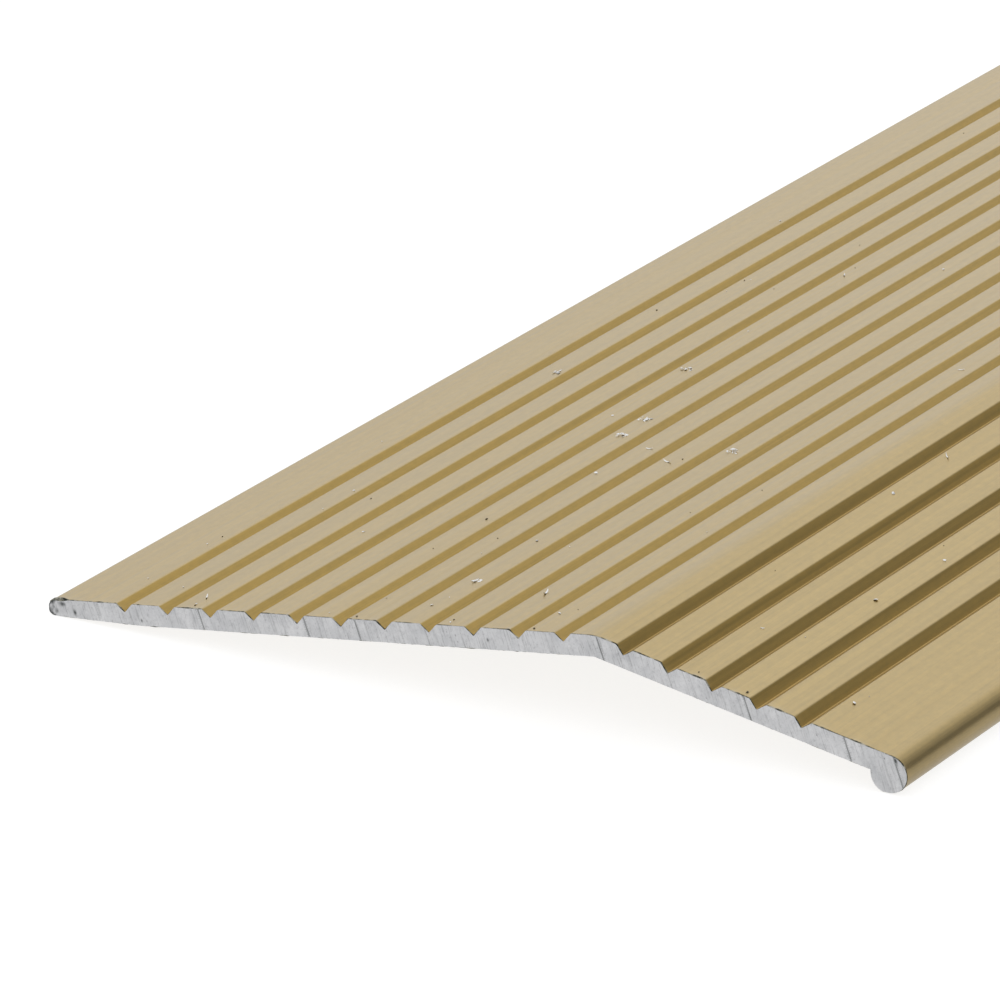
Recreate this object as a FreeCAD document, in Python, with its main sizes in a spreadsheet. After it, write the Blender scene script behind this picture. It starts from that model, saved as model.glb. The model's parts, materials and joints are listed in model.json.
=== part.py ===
import FreeCAD, Part
import math
import os

import Sketcher
from FreeCAD import Placement, Rotation, Vector

# Fluted threshold strip: one aluminium extrusion, screwed down over the joint between two floor
# coverings. Millimetres. X runs across the strip from its thin nose (-X) to its bulb (+X), Y along
# its length, Z up. The origin is on the floor, under the crest and halfway along the strip.

DIMENSIONS = {
    # The extrusion's section
    "overall_length": 914.4,
    "overall_width": 50.8,
    "leg_thickness": 1.15,
    "long_leg_reach": 32.93,
    "long_leg_slope": 7.5,
    "short_leg_slope": 10.5,
    "crest_radius": 3.0,
    "inner_bend_radius": 0.3,
    "bulb_radius": 1.03,
    "bulb_foot": 0.4,
    "nose_foot": 0.73,
    "nose_taper": 5.6,
    "nose_top_radius": 0.44,
    "nose_foot_radius": 0.34,
    # The flutes along its top
    "flute_width": 0.985,
    "flute_depth": 0.46,
    "flute_lip_radius": 0.16,
    "long_flute_count": 11,
    "long_flute_first": 1.905,
    "long_flute_pitch": 2.66,
    "short_flute_count": 5,
    "short_flute_first": 1.76,
    "short_flute_pitch": 2.6,
    # The two rows of countersunk holes
    "long_screw_count": 4,
    "short_screw_count": 5,
    "screw_spacing": 209.55,
    "countersink_radius": 3.5,
    "cone_half_angle": 41.0,
    # The screws
    "screw_length": 25.4,
    "head_radius": 3.4,
    "head_rim": 0.12,
    "head_edge_radius": 0.05,
    "shank_radius": 1.75,
    "plain_shank": 6.5,
    "core_radius": 1.2,
    "core_shoulder": 0.4,
    "thread_radius": 1.73,
    "thread_pitch": 1.41,
    "thread_length": 12.0,
    "thread_root": 0.62,
    "thread_crest": 0.12,
    "thread_bury": 0.1,
    "point_length": 4.2,
    "point_radius": 0.12,
    "recess_width": 3.5,
    "recess_slot": 0.95,
    "recess_depth": 1.6,
    "recess_floor_width": 1.3,
    "recess_floor_slot": 0.6,
}

SPIN_STEP = 37.0  # degrees that each driven screw's cross is turned from the one before

# Lengths that follow from the driving ones. {name} is a cell of the sheet.

LONG_FALL = "tan({long_leg_slope} * 1 deg)"
SHORT_FALL = "tan({short_leg_slope} * 1 deg)"
LONG_DROP = "{leg_thickness} / cos({long_leg_slope} * 1 deg)"
SHORT_DROP = "{leg_thickness} / cos({short_leg_slope} * 1 deg)"
BULB_CENTRE = "({overall_width} - {long_leg_reach} - {bulb_radius})"
BULB_RISE = "sqrt({bulb_radius}^2 - ({bulb_foot} / 2)^2)"
BULB_ROOF = "{bulb_radius} / cos({short_leg_slope} * 1 deg)"
CREST_HEIGHT = f"({BULB_RISE} + {SHORT_FALL} * {BULB_CENTRE} + {BULB_ROOF})"
TAPER_START = "({long_leg_reach} - {nose_taper})"
INNER_BEND = f"(({LONG_DROP} - {SHORT_DROP}) / ({LONG_FALL} + {SHORT_FALL}))"

CONE_DEPTH = "({head_radius} - {shank_radius}) / tan({cone_half_angle} * 1 deg)"
SHANK_START = f"({{head_rim}} + {CONE_DEPTH})"
SHANK_END = f"({SHANK_START} + {{plain_shank}})"
POINT_START = "({screw_length} - {point_length})"
HEAD_LIFT = "{head_rim} - ({countersink_radius} - {head_radius}) / tan({cone_half_angle} * 1 deg)"

# The two legs fall away from the crest. "side" is the way a leg runs from it along X, and the screw
# line is how far down its top face the screws stand, midway between two flutes.

LEGS = {
    "long": {
        "side": -1,
        "slope": "{long_leg_slope}",
        "screw_line": "{long_flute_first} + 3.5 * {long_flute_pitch}",
    },
    "short": {
        "side": 1,
        "slope": "{short_leg_slope}",
        "screw_line": "{short_flute_first} + 2.5 * {short_flute_pitch}",
    },
}

doc = FreeCAD.newDocument("threshold_strip")
sheet = doc.addObject("Spreadsheet::Sheet", "dimensions")
for row, (alias, number) in enumerate(DIMENSIONS.items(), start=1):
    sheet.set(f"A{row}", alias)
    sheet.set(f"B{row}", str(number))
    sheet.setAlias(f"B{row}", alias)
doc.recompute()


def bound(words):
    """A FreeCAD expression from words that name the sheet's cells in braces."""
    return words.replace("{", "dimensions.").replace("}", "")


def value(words):
    return float(sheet.evalExpression(bound(words)))


def set_sizes(feature, **sizes):
    for name, words in sizes.items():
        feature.setExpression(name, bound(words))


def new_body(label):
    body = doc.addObject("PartDesign::Body", label)
    body.Label = label
    return body


def origin_feature(body, role):
    return next(f for f in body.Origin.OriginFeatures if f.Role == role)


def new_sketch(body, name, role="XZ_Plane"):
    sketch = body.newObject("Sketcher::SketchObject", name)
    sketch.AttachmentSupport = [(origin_feature(body, role), "")]
    sketch.MapMode = "FlatFace"
    return sketch


def dimension(sketch, name, words, kind, *where):
    """Add a sketch dimension whose value is an expression."""
    index = sketch.addConstraint(Sketcher.Constraint(kind, *where, value(words)))
    sketch.renameConstraint(index, name)
    sketch.setExpression(f"Constraints.{name}", bound(words))


def place_point(sketch, geometry, end, name, across, up):
    """Fix a point at its distances from the sketch's origin, or on an axis where one is "0"."""
    for kind, words, axis in (("DistanceX", across, -2), ("DistanceY", up, -1)):
        if words == "0":
            sketch.addConstraint(Sketcher.Constraint("PointOnObject", geometry, end, axis))
        else:
            dimension(sketch, f"{name}_{kind}", words, kind, -1, 1, geometry, end)


def point_at(across, up):
    return Vector(value(across), value(up), 0)


def draw_chain(sketch, corners, closed):
    """Straight lines from corner to corner, each corner a name with its two distances."""
    names = list(corners)
    points = [point_at(*corners[name]) for name in names]
    if closed:
        points.append(points[0])
    for start, end in zip(points, points[1:]):
        sketch.addGeometry(Part.LineSegment(start, end), False)
    lines = len(points) - 1
    for i in range(1, lines):
        sketch.addConstraint(Sketcher.Constraint("Coincident", i - 1, 2, i, 1))
    if closed:
        sketch.addConstraint(Sketcher.Constraint("Coincident", lines - 1, 2, 0, 1))
    for i in range(lines):
        place_point(sketch, i, 1, names[i], *corners[names[i]])
    return lines


def lengthwise_edges(shape, x, z):
    """Names of the edges that run along Y through (x, z)."""
    names = []
    for number, edge in enumerate(shape.Edges, start=1):
        ends = [vertex.Point for vertex in edge.Vertexes]
        if len(ends) != 2 or abs(ends[0].y - ends[1].y) < 1:
            continue
        if all(math.hypot(end.x - x, end.z - z) < 0.01 for end in ends):
            names.append(f"Edge{number}")
    return names


def round_edges(body, name, places, radius):
    """Round the lengthwise edge at each place, given as (x, z)."""
    base = body.Tip
    names = []
    for x, z in places:
        found = lengthwise_edges(base.Shape, x, z)
        if len(found) != 1:
            raise RuntimeError(f"{name}: {len(found)} edges at {x:.3f}, {z:.3f}")
        names += found
    fillet = body.newObject("PartDesign::Fillet", name)
    fillet.Base = (base, names)
    set_sizes(fillet, Radius=radius)
    doc.recompute()
    if fillet.Shape.isNull():
        raise RuntimeError(f"{name} failed: {fillet.State}")


def repeat(body, feature, name, direction, count, spacing, backwards=False):
    """Repeat a feature in a straight row."""
    row = body.newObject("PartDesign::LinearPattern", name)
    row.Originals = [feature]
    row.Direction = direction
    row.Mode = "Spacing"
    row.Reversed = backwards
    set_sizes(row, Offset=spacing, Occurrences=count)
    body.Tip = row
    doc.recompute()


def must_shrink(body, before):
    if body.Shape.Volume > before - 1:
        raise RuntimeError(f"{body.Tip.Label} cut nothing")


def down_leg(leg, distance):
    """Expressions for x and z at a distance from the crest down a leg's top face."""
    sign = "-" if LEGS[leg]["side"] < 0 else ""
    slope = LEGS[leg]["slope"]
    across = f"{sign}({distance}) * cos({slope} * 1 deg)"
    up = f"{CREST_HEIGHT} - ({distance}) * sin({slope} * 1 deg)"
    return across, up


def lay_on_leg(sketch, leg, distance, along):
    """Put a sketch's origin on a leg's top face, its x along the face and its y out of it."""
    across, up = down_leg(leg, distance)
    sketch.AttachmentOffset = Placement(Vector(), Rotation(Vector(0, 0, 1), 1))
    for name, words in (("x", across), ("y", up), ("z", f"-1 * ({along})")):
        sketch.setExpression(f"AttachmentOffset.Base.{name}", bound(words))
    turn = f"{-LEGS[leg]['side']} * {LEGS[leg]['slope']}"
    sketch.setExpression("AttachmentOffset.Rotation.Angle", bound(turn))


def section_corners():
    inner_height = f"{CREST_HEIGHT} - {SHORT_DROP} - {SHORT_FALL} * {INNER_BEND}"
    return {
        "crest": ("0", CREST_HEIGHT),
        "nose_top": ("-{long_leg_reach}", f"{CREST_HEIGHT} - {LONG_FALL} * {{long_leg_reach}}"),
        "nose_bottom": ("-{long_leg_reach}", "0"),
        "nose_heel": ("-{long_leg_reach} + {nose_foot}", "0"),
        "taper_start": (f"-{TAPER_START}", f"{CREST_HEIGHT} - {LONG_DROP} - {LONG_FALL} * {TAPER_START}"),
        "inner_bend": (INNER_BEND, inner_height),
        "bulb_inside": (f"{BULB_CENTRE} - {{bulb_radius}}", BULB_RISE),
    }


def section_sketch(body):
    """The section: two legs that meet at the crest, a tapered nose, and a bulb with a flat foot."""
    sketch = new_sketch(body, "section")
    lines = draw_chain(sketch, section_corners(), closed=False)
    underside = lines - 1

    centre = point_at(BULB_CENTRE, BULB_RISE)
    radius = value("{bulb_radius}")
    half_foot = value("{bulb_foot}") / 2
    foot_turn = math.asin(half_foot / radius)
    slope = math.radians(value("{short_leg_slope}"))
    down = 1.5 * math.pi
    circle = Part.Circle(centre, Vector(0, 0, 1), radius)
    tangent_point = centre + Vector(math.sin(slope), math.cos(slope), 0) * radius
    foot_ends = [Vector(centre.x + step, 0, 0) for step in (-half_foot, half_foot)]

    inner = sketch.addGeometry(Part.ArcOfCircle(circle, math.pi, down - foot_turn), False)
    foot = sketch.addGeometry(Part.LineSegment(*foot_ends), False)
    outer = sketch.addGeometry(Part.ArcOfCircle(circle, down + foot_turn, 2.5 * math.pi - slope), False)
    roof = sketch.addGeometry(Part.LineSegment(tangent_point, point_at("0", CREST_HEIGHT)), False)
    joins = ((underside, 2, inner, 1), (inner, 2, foot, 1), (foot, 2, outer, 1), (roof, 2, 0, 1))
    for join in joins:
        sketch.addConstraint(Sketcher.Constraint("Coincident", *join))
    sketch.addConstraint(Sketcher.Constraint("Coincident", inner, 3, outer, 3))
    sketch.addConstraint(Sketcher.Constraint("Equal", inner, outer))
    sketch.addConstraint(Sketcher.Constraint("Tangent", outer, 2, roof, 1))
    sketch.addConstraint(Sketcher.Constraint("Parallel", underside, roof))
    for end in (1, 2):
        sketch.addConstraint(Sketcher.Constraint("PointOnObject", foot, end, -1))
    dimension(sketch, "bulb_radius", "{bulb_radius}", "Radius", outer)
    dimension(sketch, "bulb_foot", "{bulb_foot}", "DistanceX", foot, 1, foot, 2)
    dimension(sketch, "bulb_centre", BULB_CENTRE, "DistanceX", -1, 1, outer, 3)
    return sketch


def flute_lips(leg):
    """Where the sharp lips of a leg's flutes are, as (x, z)."""
    places = []
    for i in range(int(value(f"{{{leg}_flute_count}}"))):
        for side in ("-", "+"):
            distance = f"{{{leg}_flute_first}} + {i} * {{{leg}_flute_pitch}} {side} {{flute_width}} / 2"
            across, up = down_leg(leg, distance)
            places.append((value(across), value(up)))
    return places


def cut_flutes(body, leg):
    """A row of V flutes down one leg, running the strip's whole length."""
    before = body.Shape.Volume
    sketch = new_sketch(body, f"{leg}_flute")
    lay_on_leg(sketch, leg, f"{{{leg}_flute_first}}", "0")
    corners = {
        "bottom": ("0", "-{flute_depth}"),
        "right_lip": ("{flute_width} / 2", "0"),
        "right_top": ("{flute_width} / 2", "{flute_depth}"),
        "left_top": ("-{flute_width} / 2", "{flute_depth}"),
        "left_lip": ("-{flute_width} / 2", "0"),
    }
    draw_chain(sketch, corners, closed=True)
    cutter = body.newObject("PartDesign::Pocket", f"{leg}_flute_cut")
    cutter.Profile = sketch
    cutter.SideType = "Symmetric"
    set_sizes(cutter, Length="{overall_length} + 10")
    body.Tip = cutter
    doc.recompute()
    must_shrink(body, before)
    before = body.Shape.Volume
    backwards = LEGS[leg]["side"] < 0
    count = f"{{{leg}_flute_count}}"
    pitch = f"{{{leg}_flute_pitch}}"
    repeat(body, cutter, f"{leg}_flutes", (sketch, ["H_Axis"]), count, pitch, backwards)
    must_shrink(body, before)


def first_hole(leg):
    """Distance along Y of a row's first hole: each row is centred on the strip's length."""
    return f"-({{{leg}_screw_count}} - 1) / 2 * {{screw_spacing}}"


def sink_holes(body, leg):
    """A row of countersunk holes through one leg, square to its top face."""
    before = body.Shape.Volume
    sketch = new_sketch(body, f"{leg}_countersink")
    lay_on_leg(sketch, leg, LEGS[leg]["screw_line"], first_hole(leg))
    widening = "tan({cone_half_angle} * 1 deg)"
    depth = "({leg_thickness} * 1.5)"
    corners = {
        "floor_centre": ("0", f"-1 * {depth}"),
        "floor_edge": (f"{{countersink_radius}} - {depth} * {widening}", f"-1 * {depth}"),
        "rim": ("{countersink_radius}", "0"),
        "above_rim": ("{countersink_radius}", "{leg_thickness}"),
        "above_centre": ("0", "{leg_thickness}"),
    }
    draw_chain(sketch, corners, closed=True)
    cutter = body.newObject("PartDesign::Groove", f"{leg}_countersink_cut")
    cutter.Profile = sketch
    cutter.ReferenceAxis = (sketch, ["V_Axis"])
    cutter.Angle = 360
    body.Tip = cutter
    doc.recompute()
    must_shrink(body, before)
    before = body.Shape.Volume
    along = (origin_feature(body, "Y_Axis"), [""])
    repeat(body, cutter, f"{leg}_holes", along, f"{{{leg}_screw_count}}", "{screw_spacing}")
    must_shrink(body, before)


def make_strip():
    body = new_body("strip")
    pad = body.newObject("PartDesign::Pad", "extrusion")
    pad.Profile = section_sketch(body)
    pad.SideType = "Symmetric"
    set_sizes(pad, Length="{overall_length}")
    doc.recompute()
    corners = section_corners()
    rounds = {
        "crest": "{crest_radius}",
        "nose_top": "{nose_top_radius}",
        "nose_bottom": "{nose_foot_radius}",
        "inner_bend": "{inner_bend_radius}",
    }
    for corner, radius in rounds.items():
        across, up = corners[corner]
        round_edges(body, f"{corner}_round", [(value(across), value(up))], radius)
    for leg in LEGS:
        cut_flutes(body, leg)
    round_edges(body, "flute_lips", flute_lips("long") + flute_lips("short"), "{flute_lip_radius}")
    for leg in LEGS:
        sink_holes(body, leg)
    return body


def cross_sketch(body, name, width, slot, depth):
    """A cross in plan, at a depth below the screw's head."""
    sketch = new_sketch(body, name, "XY_Plane")
    sketch.setExpression("AttachmentOffset.Base.z", bound(f"-1 * {depth}"))
    reach = [f"{width} / 2", f"{slot} / 2"]
    corners = {}
    for quarter, (along_x, along_y) in enumerate(((1, 1), (-1, 1), (-1, -1), (1, -1))):
        tips = [(0, 1), (1, 1), (1, 0)]
        if along_x * along_y < 0:
            tips.reverse()
        for step, (i, j) in enumerate(tips):
            across = f"{along_x} * {reach[i]}"
            up = f"{along_y} * {reach[j]}"
            corners[f"corner_{quarter}_{step}"] = (across, up)
    draw_chain(sketch, corners, closed=True)
    return sketch


def make_screw(label):
    """A flat-head wood screw with a cross recess. Its axis is Z and its head's top is at Z = 0."""
    body = new_body(label)
    profile = new_sketch(body, f"{label}_profile")
    corners = {
        "head_centre": ("0", "0"),
        "head_edge": ("{head_radius}", "0"),
        "rim": ("{head_radius}", "-{head_rim}"),
        "shank_top": ("{shank_radius}", f"-1 * {SHANK_START}"),
        "shank_end": ("{shank_radius}", f"-1 * {SHANK_END}"),
        "core_top": ("{core_radius}", f"-1 * {SHANK_END} - {{core_shoulder}}"),
        "core_end": ("{core_radius}", f"-1 * {POINT_START}"),
        "tip_edge": ("{point_radius}", "-{screw_length}"),
        "tip": ("0", "-{screw_length}"),
    }
    draw_chain(profile, corners, closed=True)
    turned = body.newObject("PartDesign::Revolution", f"{label}_blank")
    turned.Profile = profile
    turned.ReferenceAxis = (profile, ["V_Axis"])
    turned.Angle = 360
    doc.recompute()

    ridge = new_sketch(body, f"{label}_ridge")
    middle = f"-1 * {POINT_START} + {{thread_root}}"
    foot_radius = "{core_radius} - {thread_bury}"
    corners = {
        "lower_root": (foot_radius, f"{middle} - {{thread_root}} / 2"),
        "lower_crest": ("{thread_radius}", f"{middle} - {{thread_crest}} / 2"),
        "upper_crest": ("{thread_radius}", f"{middle} + {{thread_crest}} / 2"),
        "upper_root": (foot_radius, f"{middle} + {{thread_root}} / 2"),
    }
    draw_chain(ridge, corners, closed=True)
    before = body.Shape.Volume
    thread = body.newObject("PartDesign::AdditiveHelix", f"{label}_thread")
    thread.Profile = ridge
    thread.ReferenceAxis = (ridge, ["V_Axis"])
    thread.Mode = "pitch-height-angle"
    set_sizes(thread, Pitch="{thread_pitch}", Height="{thread_length} - {thread_root}")
    doc.recompute()
    if body.Shape.Volume < before + 1:
        raise RuntimeError(f"{label}: the thread adds nothing")

    before = body.Shape.Volume
    mouth = cross_sketch(body, f"{label}_recess_mouth", "{recess_width}", "{recess_slot}", "0")
    floor = cross_sketch(
        body, f"{label}_recess_floor", "{recess_floor_width}", "{recess_floor_slot}", "{recess_depth}")
    recess = body.newObject("PartDesign::SubtractiveLoft", f"{label}_recess")
    recess.Profile = mouth
    recess.Sections = [(floor, [""])]
    recess.Ruled = True
    doc.recompute()
    must_shrink(body, before)

    base = body.Tip
    rim = [
        f"Edge{number}" for number, edge in enumerate(base.Shape.Edges, start=1)
        if isinstance(edge.Curve, Part.Circle) and abs(edge.Curve.Center.z) < 0.001
    ]
    softened = body.newObject("PartDesign::Fillet", f"{label}_edge")
    softened.Base = (base, rim)
    set_sizes(softened, Radius="{head_edge_radius}")
    doc.recompute()
    return body


def drive_screw(body, leg, number, spin):
    """Seat a screw in one of a leg's countersinks, square to the leg, its cross turned by spin."""
    across, up = down_leg(leg, LEGS[leg]["screw_line"])
    slope = LEGS[leg]["slope"]
    side = LEGS[leg]["side"]
    places = {
        "x": f"{across} + {side} * ({HEAD_LIFT}) * sin({slope} * 1 deg)",
        "y": f"{first_hole(leg)} + {number - 1} * {{screw_spacing}}",
        "z": f"{up} + ({HEAD_LIFT}) * cos({slope} * 1 deg)",
    }
    lean = Rotation(Vector(0, 1, 0), side * value(slope))
    body.Placement = Placement(Vector(), lean * Rotation(Vector(0, 0, 1), spin))
    for axis, words in places.items():
        body.setExpression(f"Placement.Base.{axis}", bound(words))


def check_document():
    for thing in doc.Objects:
        if "Invalid" in thing.State or "Error" in thing.State:
            raise RuntimeError(f"{thing.Label}: {thing.State}")


bodies = [make_strip()]
for leg in LEGS:
    for number in range(1, int(value(f"{{{leg}_screw_count}}")) + 1):
        screw = make_screw(f"screw_{leg}_{number}")
        drive_screw(screw, leg, number, SPIN_STEP * len(bodies))
        bodies.append(screw)
doc.recompute()
check_document()

for body in bodies:
    if body.Shape.isNull() or not body.Shape.isValid() or len(body.Shape.Solids) != 1:
        raise RuntimeError(f"{body.Label} is not one valid solid")

os.makedirs("parts", exist_ok=True)
for body in bodies:
    body.Shape.exportStep(f"parts/{body.Label}.step")
    box = body.Shape.BoundBox
    print(f"{body.Label}: {body.Shape.Volume:.1f} mm3, x {box.XMin:.2f} {box.XMax:.2f},"
          f" y {box.YMin:.2f} {box.YMax:.2f}, z {box.ZMin:.2f} {box.ZMax:.2f}")
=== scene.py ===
import json
import math
import random

import bmesh
import bpy
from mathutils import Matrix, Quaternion, Vector, noise
from mathutils.geometry import delaunay_2d_cdt
from mathutils.kdtree import KDTree

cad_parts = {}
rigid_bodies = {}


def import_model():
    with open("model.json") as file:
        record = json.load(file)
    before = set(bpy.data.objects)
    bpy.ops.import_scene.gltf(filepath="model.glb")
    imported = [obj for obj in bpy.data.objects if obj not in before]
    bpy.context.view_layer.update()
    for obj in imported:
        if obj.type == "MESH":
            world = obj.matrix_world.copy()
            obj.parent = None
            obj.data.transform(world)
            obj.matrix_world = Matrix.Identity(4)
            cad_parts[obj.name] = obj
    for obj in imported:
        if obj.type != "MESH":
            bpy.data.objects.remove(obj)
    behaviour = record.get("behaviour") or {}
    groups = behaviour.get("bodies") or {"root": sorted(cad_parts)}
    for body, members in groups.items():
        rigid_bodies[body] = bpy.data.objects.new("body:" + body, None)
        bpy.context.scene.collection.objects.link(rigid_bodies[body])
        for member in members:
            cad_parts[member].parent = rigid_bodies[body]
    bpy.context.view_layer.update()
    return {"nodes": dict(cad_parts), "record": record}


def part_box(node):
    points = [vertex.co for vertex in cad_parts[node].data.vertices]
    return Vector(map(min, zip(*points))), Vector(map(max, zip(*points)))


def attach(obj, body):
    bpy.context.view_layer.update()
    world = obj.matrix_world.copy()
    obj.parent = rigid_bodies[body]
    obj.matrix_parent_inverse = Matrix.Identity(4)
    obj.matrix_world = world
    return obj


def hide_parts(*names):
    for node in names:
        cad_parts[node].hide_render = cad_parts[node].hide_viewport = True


# A fluted threshold strip, satin-gold anodised, with raw sawn ends, screwed to a floor. The CAD frame
# gives the strip's width, its ends and its screws. The strip is rebuilt here as a finer mesh, with sawn
# end faces, burrs and countersunk holes. Lengths are in metres, unless a comment says mm.

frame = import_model()

MM = 0.001

# The section, as the CAD part has it
LEG_THICKNESS = 1.15 * MM
LONG_SLOPE = math.radians(7.5)
SHORT_SLOPE = math.radians(10.5)
CREST_RADIUS = 3.0 * MM
INNER_BEND_RADIUS = 0.3 * MM
BULB_RADIUS = 1.03 * MM
BULB_FOOT = 0.4 * MM
BULB_FLATNESS = 0.95
NOSE_FOOT = 0.73 * MM
NOSE_TAPER = 5.6 * MM
NOSE_TOP_RADIUS = 0.44 * MM
NOSE_FOOT_RADIUS = 0.34 * MM
NOSE_HEEL_RADIUS = 2.0 * MM
TAPER_RADIUS = 16.0 * MM
FLUTE_WIDTH = 0.985 * MM
FLUTE_DEPTH = 0.46 * MM
FLUTE_LIP_RADIUS = 0.16 * MM
FLUTE_ROOT_RADIUS = 0.05 * MM
FLUTE_BOUNCE_START = 0.03 * MM  # the flutes' gold with painted bounce light starts this far below the lands
# Each leg's flutes: how many, the first one's distance from the crest, and their pitch
LONG_FLUTES = (11, 1.905 * MM, 2.66 * MM)
SHORT_FLUTES = (5, 1.76 * MM, 2.6 * MM)
ARC_STEP = math.radians(7)
EASE = 0.015 * MM  # a point this far beside each arc keeps the flats flat in smooth shading
FLAT_STEP = 0.14 * MM  # the flats are divided this finely, so that the sawn edge can be ragged

COUNTERSINK_RADIUS = 3.5 * MM
COUNTERSINK_SIDES = 96
CONE_HALF_ANGLE = math.radians(41)

strip_low, strip_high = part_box("strip")
NOSE_X = strip_low.x
BULB_X = strip_high.x
NEAR_END = strip_low.y
FAR_END = strip_high.y
BULB_CENTRE = Vector((BULB_X - BULB_RADIUS, math.sqrt(BULB_RADIUS**2 - (BULB_FOOT / 2) ** 2)))
CREST = BULB_CENTRE.y + math.tan(SHORT_SLOPE) * BULB_CENTRE.x + BULB_RADIUS / math.cos(SHORT_SLOPE)


# Section. A side above 0 means the short leg, the one with the bulb, and below 0 the long leg


def leg_slope(side):
    return SHORT_SLOPE if side > 0 else LONG_SLOPE


def leg_normal(side):
    """The unit vector that points up and out of a leg's top face."""
    slope = leg_slope(side)
    return Vector((side * math.sin(slope), 0, math.cos(slope)))


def down_leg(side, distance, depth=0.0):
    """A point of the section: so far from the crest down a leg's top face, and so deep below it."""
    slope = leg_slope(side)
    along = Vector((side * math.cos(slope), -math.sin(slope)))
    inward = Vector((-side * math.sin(slope), -math.cos(slope)))
    return Vector((0, CREST)) + along * distance + inward * depth


def flute_corners(side, flutes):
    """The three corners of each flute with their radii, going away from the crest."""
    count, first, pitch = flutes
    corners = []
    for i in range(count):
        middle = first + i * pitch
        corners.append((down_leg(side, middle - FLUTE_WIDTH / 2), FLUTE_LIP_RADIUS))
        corners.append((down_leg(side, middle, FLUTE_DEPTH), FLUTE_ROOT_RADIUS))
        corners.append((down_leg(side, middle + FLUTE_WIDTH / 2), FLUTE_LIP_RADIUS))
    return corners


def arc_points(centre, radius, start, end):
    """Evenly spaced points along an arc, with both of its ends."""
    steps = max(2, math.ceil(abs(end - start) / ARC_STEP))
    angles = [start + (end - start) * i / steps for i in range(steps + 1)]
    return [centre + Vector((math.cos(a), math.sin(a))) * radius for a in angles]


def round_corner(before, corner, after, radius):
    """The arc of that radius that replaces a corner between two straight sides."""
    into = (corner - before).normalized()
    out = (after - corner).normalized()
    turn = math.atan2(into.x * out.y - into.y * out.x, into.dot(out))
    cut = radius * math.tan(abs(turn) / 2)
    left = Vector((-into.y, into.x)) * math.copysign(1, turn)
    centre = corner - into * cut + left * radius
    start = math.atan2(-left.y, -left.x)
    arc = arc_points(centre, radius, start, start + turn)
    return [arc[0] - into * EASE] + arc + [arc[-1] + out * EASE]


def section():
    """The closed outline: down the long leg's top, back underneath and up the short leg's top."""
    long_drop = LEG_THICKNESS / math.cos(LONG_SLOPE)
    short_drop = LEG_THICKNESS / math.cos(SHORT_SLOPE)
    bend_x = (long_drop - short_drop) / (math.tan(LONG_SLOPE) + math.tan(SHORT_SLOPE))
    bend = Vector((bend_x, CREST - short_drop - math.tan(SHORT_SLOPE) * bend_x))
    taper_x = NOSE_X + NOSE_TAPER
    taper = Vector((taper_x, CREST - long_drop + math.tan(LONG_SLOPE) * taper_x))
    nose_top = Vector((NOSE_X, CREST + math.tan(LONG_SLOPE) * NOSE_X))
    corners = [(Vector((0, CREST)), CREST_RADIUS)]
    corners += flute_corners(-1, LONG_FLUTES)
    corners += [
        (nose_top, NOSE_TOP_RADIUS),
        (Vector((NOSE_X, 0)), NOSE_FOOT_RADIUS),
        (Vector((NOSE_X + NOSE_FOOT, 0)), NOSE_HEEL_RADIUS),
        (taper, TAPER_RADIUS),
        (bend, INNER_BEND_RADIUS),
    ]
    bulb = bulb_points(bend)
    ends = [bulb[0], bulb[-1]]
    short = list(reversed(flute_corners(1, SHORT_FLUTES)))

    points = []
    for i, (corner, radius) in enumerate(corners):
        before = corners[i - 1][0] if i else short[-1][0]
        after = corners[i + 1][0] if i + 1 < len(corners) else ends[0]
        points += round_corner(before, corner, after, radius)
    points += bulb
    for i, (corner, radius) in enumerate(short):
        before = short[i - 1][0] if i else ends[1]
        after = short[i + 1][0] if i + 1 < len(short) else corners[0][0]
        points += round_corner(before, corner, after, radius)
    return divide_flats(points)


def divide_flats(points):
    """The same closed outline with points added along its long sides."""
    divided = []
    for point, following in zip(points, points[1:] + points[:1]):
        steps = max(1, round((following - point).length / FLAT_STEP))
        divided += [point.lerp(following, i / steps) for i in range(steps)]
    return divided


def bulb_points(bend):
    """Round the bulb from the leg's underside: a worn foot, then a slightly flattened circle."""
    foot_turn = math.acos(BULB_FLATNESS)
    points = arc_points(BULB_CENTRE, BULB_RADIUS, under_bulb_angle(bend), 1.5 * math.pi - foot_turn)
    belly = arc_points(Vector((0, 0)), BULB_RADIUS, 1.5 * math.pi, 2 * math.pi)
    points += [BULB_CENTRE + Vector((point.x, point.y * BULB_FLATNESS)) for point in belly]
    return points + arc_points(BULB_CENTRE, BULB_RADIUS, 0, math.pi / 2 - SHORT_SLOPE)[1:]


def under_bulb_angle(bend):
    """The angle round the bulb at which the short leg's underside runs into it."""
    along = Vector((math.cos(SHORT_SLOPE), -math.sin(SHORT_SLOPE)))
    to_centre = BULB_CENTRE - bend
    nearest = to_centre.dot(along)
    offset = (to_centre - along * nearest).length
    meeting = bend + along * (nearest - math.sqrt(BULB_RADIUS**2 - offset**2))
    spoke = meeting - BULB_CENTRE
    return math.atan2(spoke.y, spoke.x)


# Materials

NOISE_RANGE = (0.3, 0.7)  # nearly all of a noise texture's values lie between these
MIX_FACTOR, MIX_FIRST, MIX_SECOND = 0, 6, 7  # a Mix node's sockets when it mixes colours
MIX_RESULT = 2


def new_material(name):
    """A new material with its nodes and links."""
    material = bpy.data.materials.new(name)
    material.use_nodes = True
    return material, material.node_tree.nodes, material.node_tree.links


def add_node(nodes, kind, **inputs):
    """A new node with its inputs set by name."""
    node = nodes.new(kind)
    for name, setting in inputs.items():
        node.inputs[name.replace("_", " ")].default_value = setting
    return node


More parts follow.
